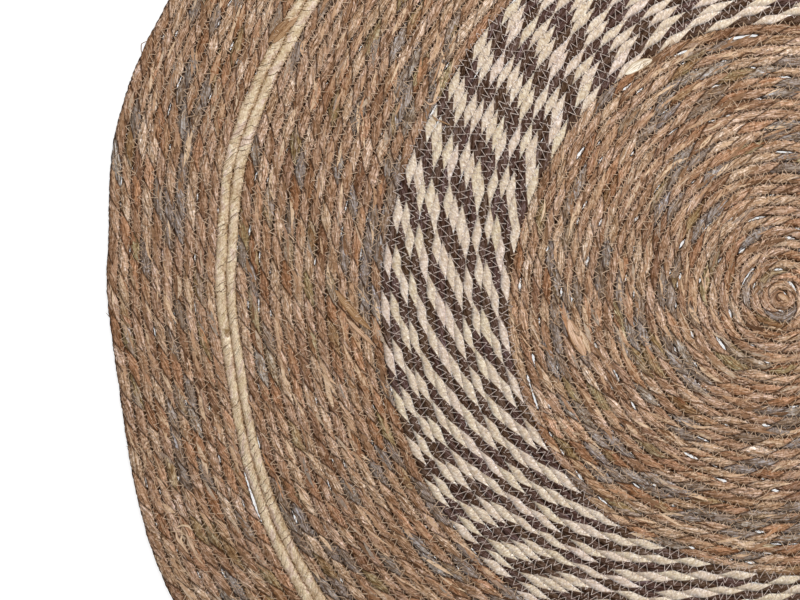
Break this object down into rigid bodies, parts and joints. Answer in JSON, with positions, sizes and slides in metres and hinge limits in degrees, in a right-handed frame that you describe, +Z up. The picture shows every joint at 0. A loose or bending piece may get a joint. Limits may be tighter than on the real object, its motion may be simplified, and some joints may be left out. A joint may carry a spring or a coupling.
{
  "type": "round natural fibre rug",
  "caption": "Round flat rug of natural fibre rope, coiled from the middle and sewn turn to turn, with a cream and dark brown ring and a band of cream cord.",
  "frame": {"origin": "middle of the flat underside, where the coil of rope starts", "axes": "+Z up, out of the ridged upper face; +X towards the end of the rope at the rug's edge"},
  "size_m": [1.1967, 1.2037, 0.007],
  "materials": {
    "seagrass": "dry leaf, matt",
    "two_tone": "cream and dark brown plies, matt",
    "cream": "pale wrinkled leaf, matt"
  },
  "bodies": {
    "root": {"seagrass_centre": "seagrass", "two_tone_ring": "two_tone", "seagrass_middle": "seagrass", "cream_cords": "cream", "seagrass_rim": "seagrass"}
  },
  "joints": []
}
